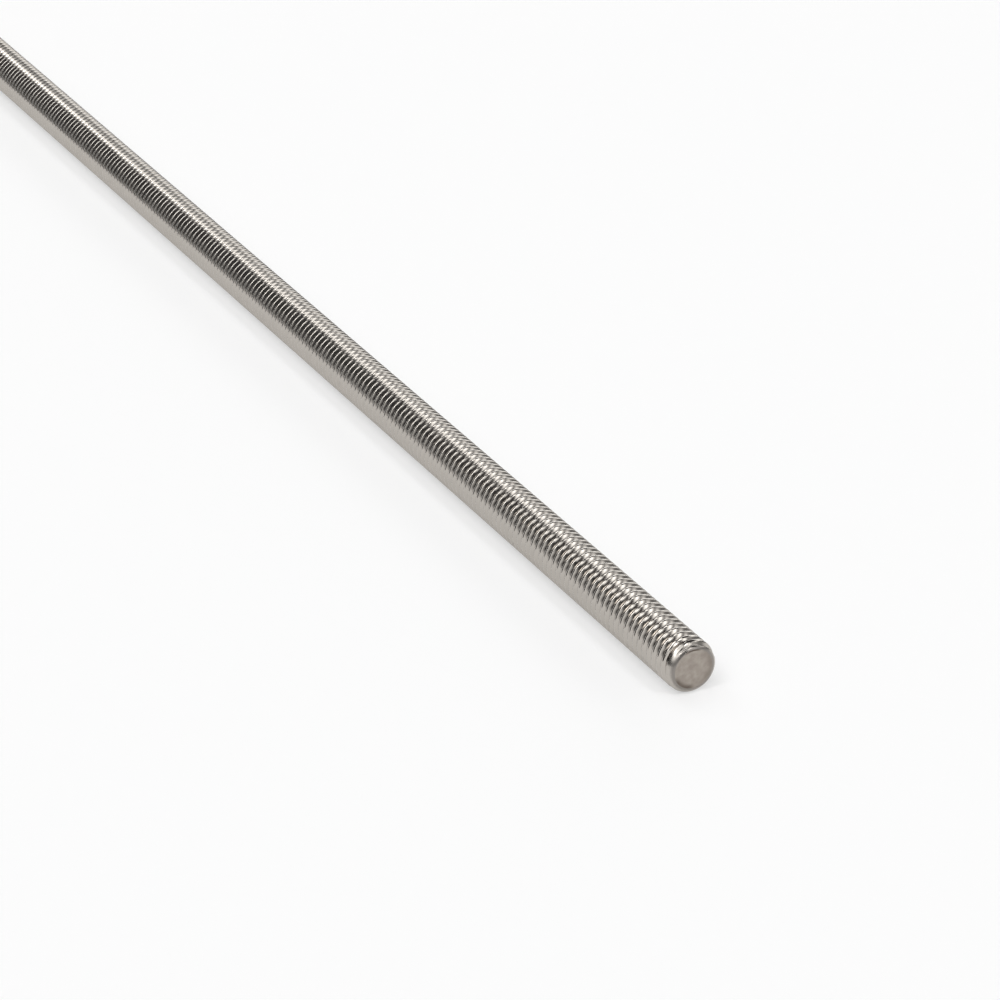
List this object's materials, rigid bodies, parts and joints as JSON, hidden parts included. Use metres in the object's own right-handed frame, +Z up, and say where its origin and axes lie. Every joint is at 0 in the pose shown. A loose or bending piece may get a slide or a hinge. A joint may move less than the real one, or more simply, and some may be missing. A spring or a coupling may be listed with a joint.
{
  "type": "threaded rod",
  "caption": "Straight round steel rod with a coarse metric screw thread over its whole length and rounded edges at both ends.",
  "frame": {"origin": "middle of the rod's axis", "axes": "+X along the rod's axis to one end, +Z up with the rod lying level"},
  "size_m": [0.25, 0.006, 0.006],
  "materials": {
    "steel": "bright rolled stainless steel"
  },
  "bodies": {
    "root": {"threaded_rod": "steel"}
  },
  "joints": []
}
